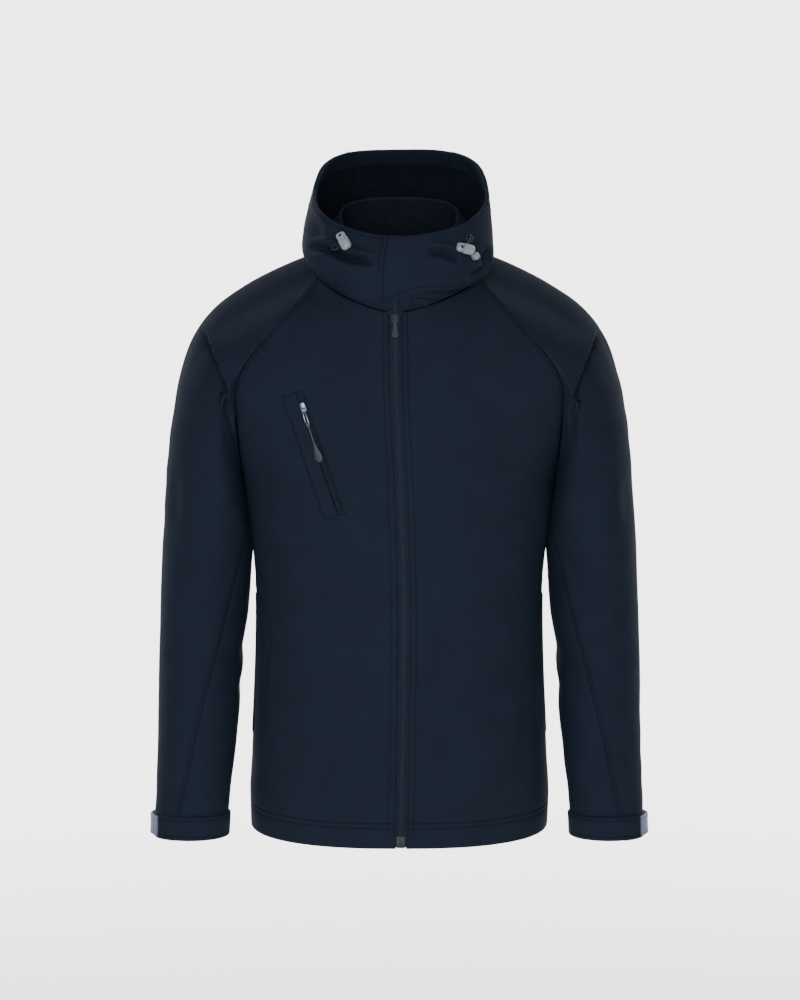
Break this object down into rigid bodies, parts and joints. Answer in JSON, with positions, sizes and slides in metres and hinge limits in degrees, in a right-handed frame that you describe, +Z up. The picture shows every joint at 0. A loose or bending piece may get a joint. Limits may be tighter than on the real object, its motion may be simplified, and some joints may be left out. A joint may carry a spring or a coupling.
{
  "type": "hooded jacket",
  "caption": "Softshell jacket with raglan sleeves, a stand collar inside a pushed back hood, a centre zip, a slanting chest pocket and tabbed cuffs, filled out as worn.",
  "frame": {"origin": "in the neck opening, level with the points where the shoulders meet the neck, where the wearer holds the jacket up", "axes": "+Z up, +Y from the front to the back, +X towards the wearer's left"},
  "size_m": [0.631, 0.3039, 0.8771],
  "materials": {
    "softshell": "matte stretch softshell, faint tonal weave",
    "inner_cloth": "matte softshell, inner side",
    "zip_tape": "matte nylon coil and tape",
    "pull_rubber": "satin moulded rubber",
    "zip_metal": "satin metal",
    "lock_plastic": "satin moulded plastic",
    "tab_rubber": "matte moulded rubber",
    "elastic": "braided elastic cord"
  },
  "bodies": {
    "jacket": {"front_right": "softshell", "front_left": "softshell", "back": "softshell", "sleeve_right_top": "softshell", "sleeve_right_under": "softshell", "sleeve_left_top": "softshell", "sleeve_left_under": "softshell", "hood_right": "softshell", "hood_left": "softshell", "hood_centre": "softshell", "collar": "inner_cloth", "hood_flap": "softshell", "zip_front": "zip_tape", "zip_foot": "zip_metal", "zip_slider": "zip_tape", "pocket_welt": "softshell", "pocket_zip": "zip_tape", "pocket_slider": "zip_metal", "hand_pocket_right": "softshell", "hand_pocket_left": "softshell", "cuff_strap_right": "softshell", "cuff_tab_right": "tab_rubber", "cuff_strap_left": "softshell", "cuff_tab_left": "tab_rubber", "cord_lock_right": "lock_plastic", "eyelet_right": "zip_tape", "cord_right": "elastic", "cord_lock_left": "lock_plastic", "eyelet_left": "zip_tape", "cord_left": "elastic", "cord_lock_left_button": "lock_plastic", "storm_tab": "softshell"},
    "front_pull": {"zip_pull": "pull_rubber"},
    "chest_pull": {"pocket_pull": "pull_rubber"}
  },
  "joints": [
    {"name": "front_pull_hinge", "type": "hinge", "parent": "jacket", "child": "front_pull", "pos_m": [-0.00487, -0.10896, -0.05865], "axis": [-1, 0, 0], "range_deg": [0, 115]},
    {"name": "chest_pull_hinge", "type": "hinge", "parent": "jacket", "child": "chest_pull", "pos_m": [-0.11736, -0.12468, -0.16807], "axis": [-0.9294, 0.1776, -0.3235], "range_deg": [0, 110]}
  ]
}
